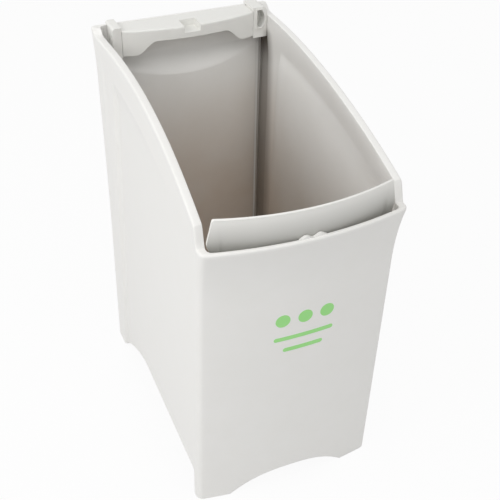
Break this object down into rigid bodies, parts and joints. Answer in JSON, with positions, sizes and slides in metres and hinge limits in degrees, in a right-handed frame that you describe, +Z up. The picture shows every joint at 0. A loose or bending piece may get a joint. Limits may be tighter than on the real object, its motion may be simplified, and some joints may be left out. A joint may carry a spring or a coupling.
{
  "type": "slim recycling bin body",
  "caption": "Slim open recycling bin with swept side rims, arched feet, a hinge rail for a lift-off lid and a swinging flap that traps the sack.",
  "frame": {"origin": "centre of the bin's bottom, on the surface that it stands on", "axes": "+Z up, -Y towards the front (the low rim with the flap), +X to the right of someone who stands before the front and looks at it"},
  "size_m": [0.3, 0.495, 0.624],
  "materials": {
    "white_plastic": "satin moulded polypropylene, off-white",
    "zinc_steel": "zinc-plated"
  },
  "bodies": {
    "bin": {"bin_body": "white_plastic", "hinge_rail": "white_plastic", "hinge_block_left": "white_plastic", "hinge_block_right": "white_plastic", "rail_screws": "zinc_steel", "block_screws": "zinc_steel", "flap_pin_left": "zinc_steel", "flap_pin_right": "zinc_steel"},
    "flap": {"sack_flap": "white_plastic"}
  },
  "joints": [
    {"name": "sack_flap_hinge", "type": "hinge", "parent": "bin", "child": "flap", "pos_m": [0, -0.21225, 0.468], "axis": [-1, 0, 0], "range_deg": [0, 40]}
  ]
}
